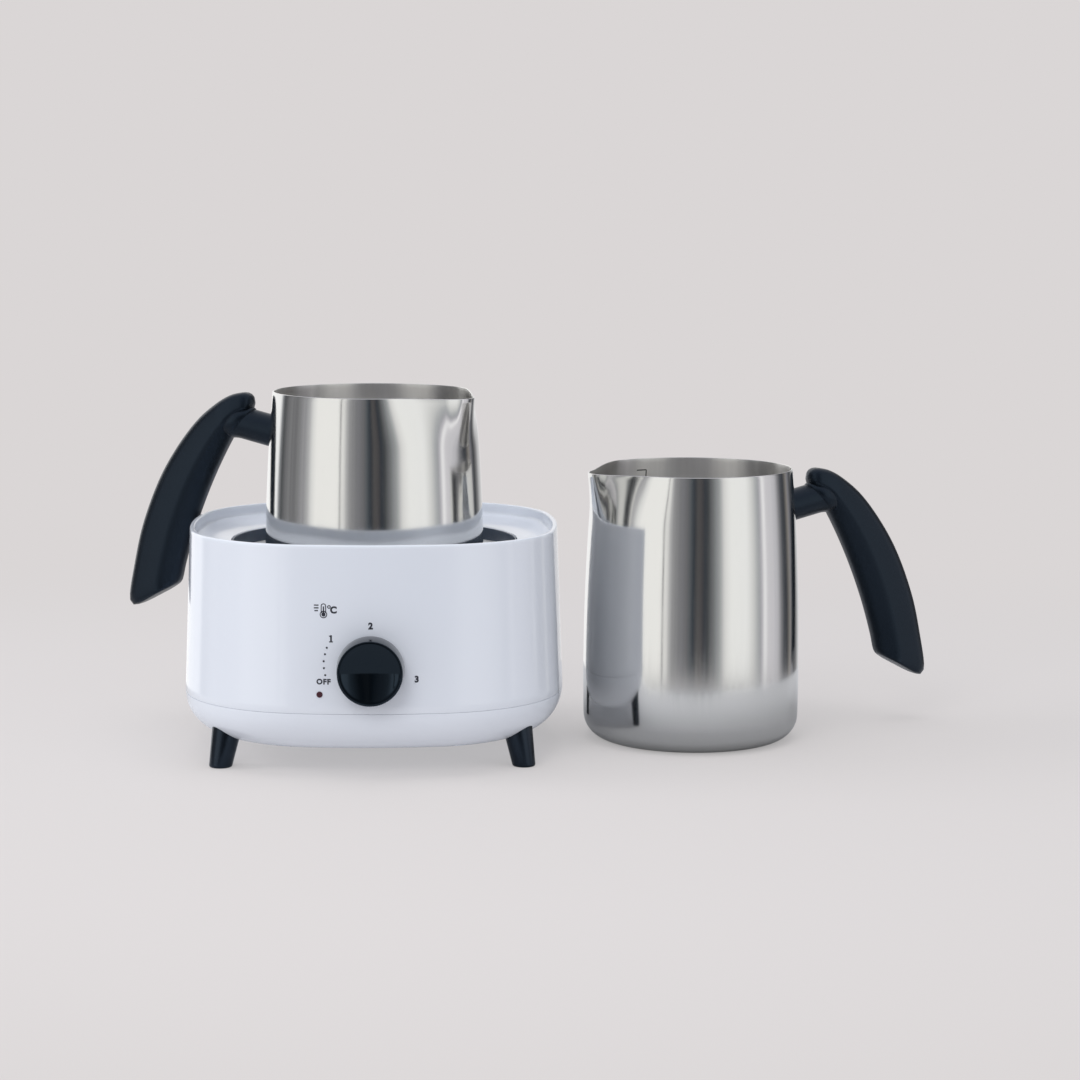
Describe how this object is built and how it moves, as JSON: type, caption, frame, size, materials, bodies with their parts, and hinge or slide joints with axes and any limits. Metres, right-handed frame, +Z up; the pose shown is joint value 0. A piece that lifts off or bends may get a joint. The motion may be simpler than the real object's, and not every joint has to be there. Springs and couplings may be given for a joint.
{
  "type": "candle wax melter",
  "caption": "Electric wax melter: white rounded-square base on splayed black feet, with a heated well, a control knob and lamp, and two steel pouring jugs with black handles.",
  "frame": {"origin": "on the table under the middle of the well", "axes": "+X to the right of somebody facing the knob, +Y to the rear, +Z up along the well's axis"},
  "size_m": [0.4122, 0.2021, 0.1775],
  "materials": {
    "housing_white": "glossy",
    "handle_black": "satin",
    "knob_black": "glossy",
    "foot_black": "glossy",
    "ring_black": "satin",
    "jug_steel": "polished outside, brushed inside",
    "well_metal": "satin",
    "plate_aluminium": "cast",
    "element_steel": "heat-tinted",
    "shield_steel": "satin",
    "insulation": "felted fibre",
    "screw_steel": "zinc plated",
    "brass": "turned",
    "lens_red": "translucent, glossy",
    "lamp_glass": "clear",
    "fitting_black": "matte",
    "control_brown": "moulded",
    "block_cream": "moulded",
    "wire_sleeve": "silicone",
    "rubber_black": "matte"
  },
  "bodies": {
    "base": {"lower_housing": "housing_white", "upper_housing": "housing_white", "foot_front_left": "foot_black", "foot_front_right": "foot_black", "foot_rear_left": "foot_black", "foot_rear_right": "foot_black", "foot_screws": "screw_steel", "housing_screws": "screw_steel", "well_screws": "screw_steel", "bracket_screws": "screw_steel", "well_trim_ring": "ring_black", "heating_well": "well_metal", "heating_plate": "plate_aluminium", "heating_element": "element_steel", "heat_shield": "shield_steel", "insulation_pad": "insulation", "thermal_fuse": "block_cream", "fuse_clip": "shield_steel", "thermostat_body": "control_brown", "thermostat_bracket": "shield_steel", "thermostat_nut": "brass", "sensor_bulb": "brass", "indicator_lens": "lens_red", "indicator_lamp": "lamp_glass", "lamp_holder": "fitting_black", "cord_inlet": "rubber_black", "inlet_nut": "fitting_black", "terminal_block": "block_cream", "supply_wire": "wire_sleeve", "element_wire": "wire_sleeve"},
    "knob": {"control_knob": "knob_black", "thermostat_shaft": "screw_steel"},
    "jug_1": {"jug_1_cup": "jug_steel", "jug_1_handle_stud": "screw_steel", "jug_1_handle_stem": "handle_black", "jug_1_handle_grip": "handle_black", "jug_1_grip_insert": "brass"},
    "jug_2": {"jug_2_cup": "jug_steel", "jug_2_handle_stud": "screw_steel", "jug_2_handle_stem": "handle_black", "jug_2_handle_grip": "handle_black", "jug_2_grip_insert": "brass"}
  },
  "joints": [
    {"name": "knob_turn", "type": "hinge", "parent": "base", "child": "knob", "pos_m": [0, -0.1, 0.0535], "axis": [0, 1, 0], "range_deg": [-206, 0]},
    {"name": "jug_1_lift", "type": "slide", "parent": "base", "child": "jug_1", "axis": [0, 0, 1], "range_m": [0, 0.1]},
    {"name": "jug_2_lift", "type": "slide", "parent": "base", "child": "jug_2", "axis": [0, 0, 1], "range_m": [0, 0.1]}
  ]
}
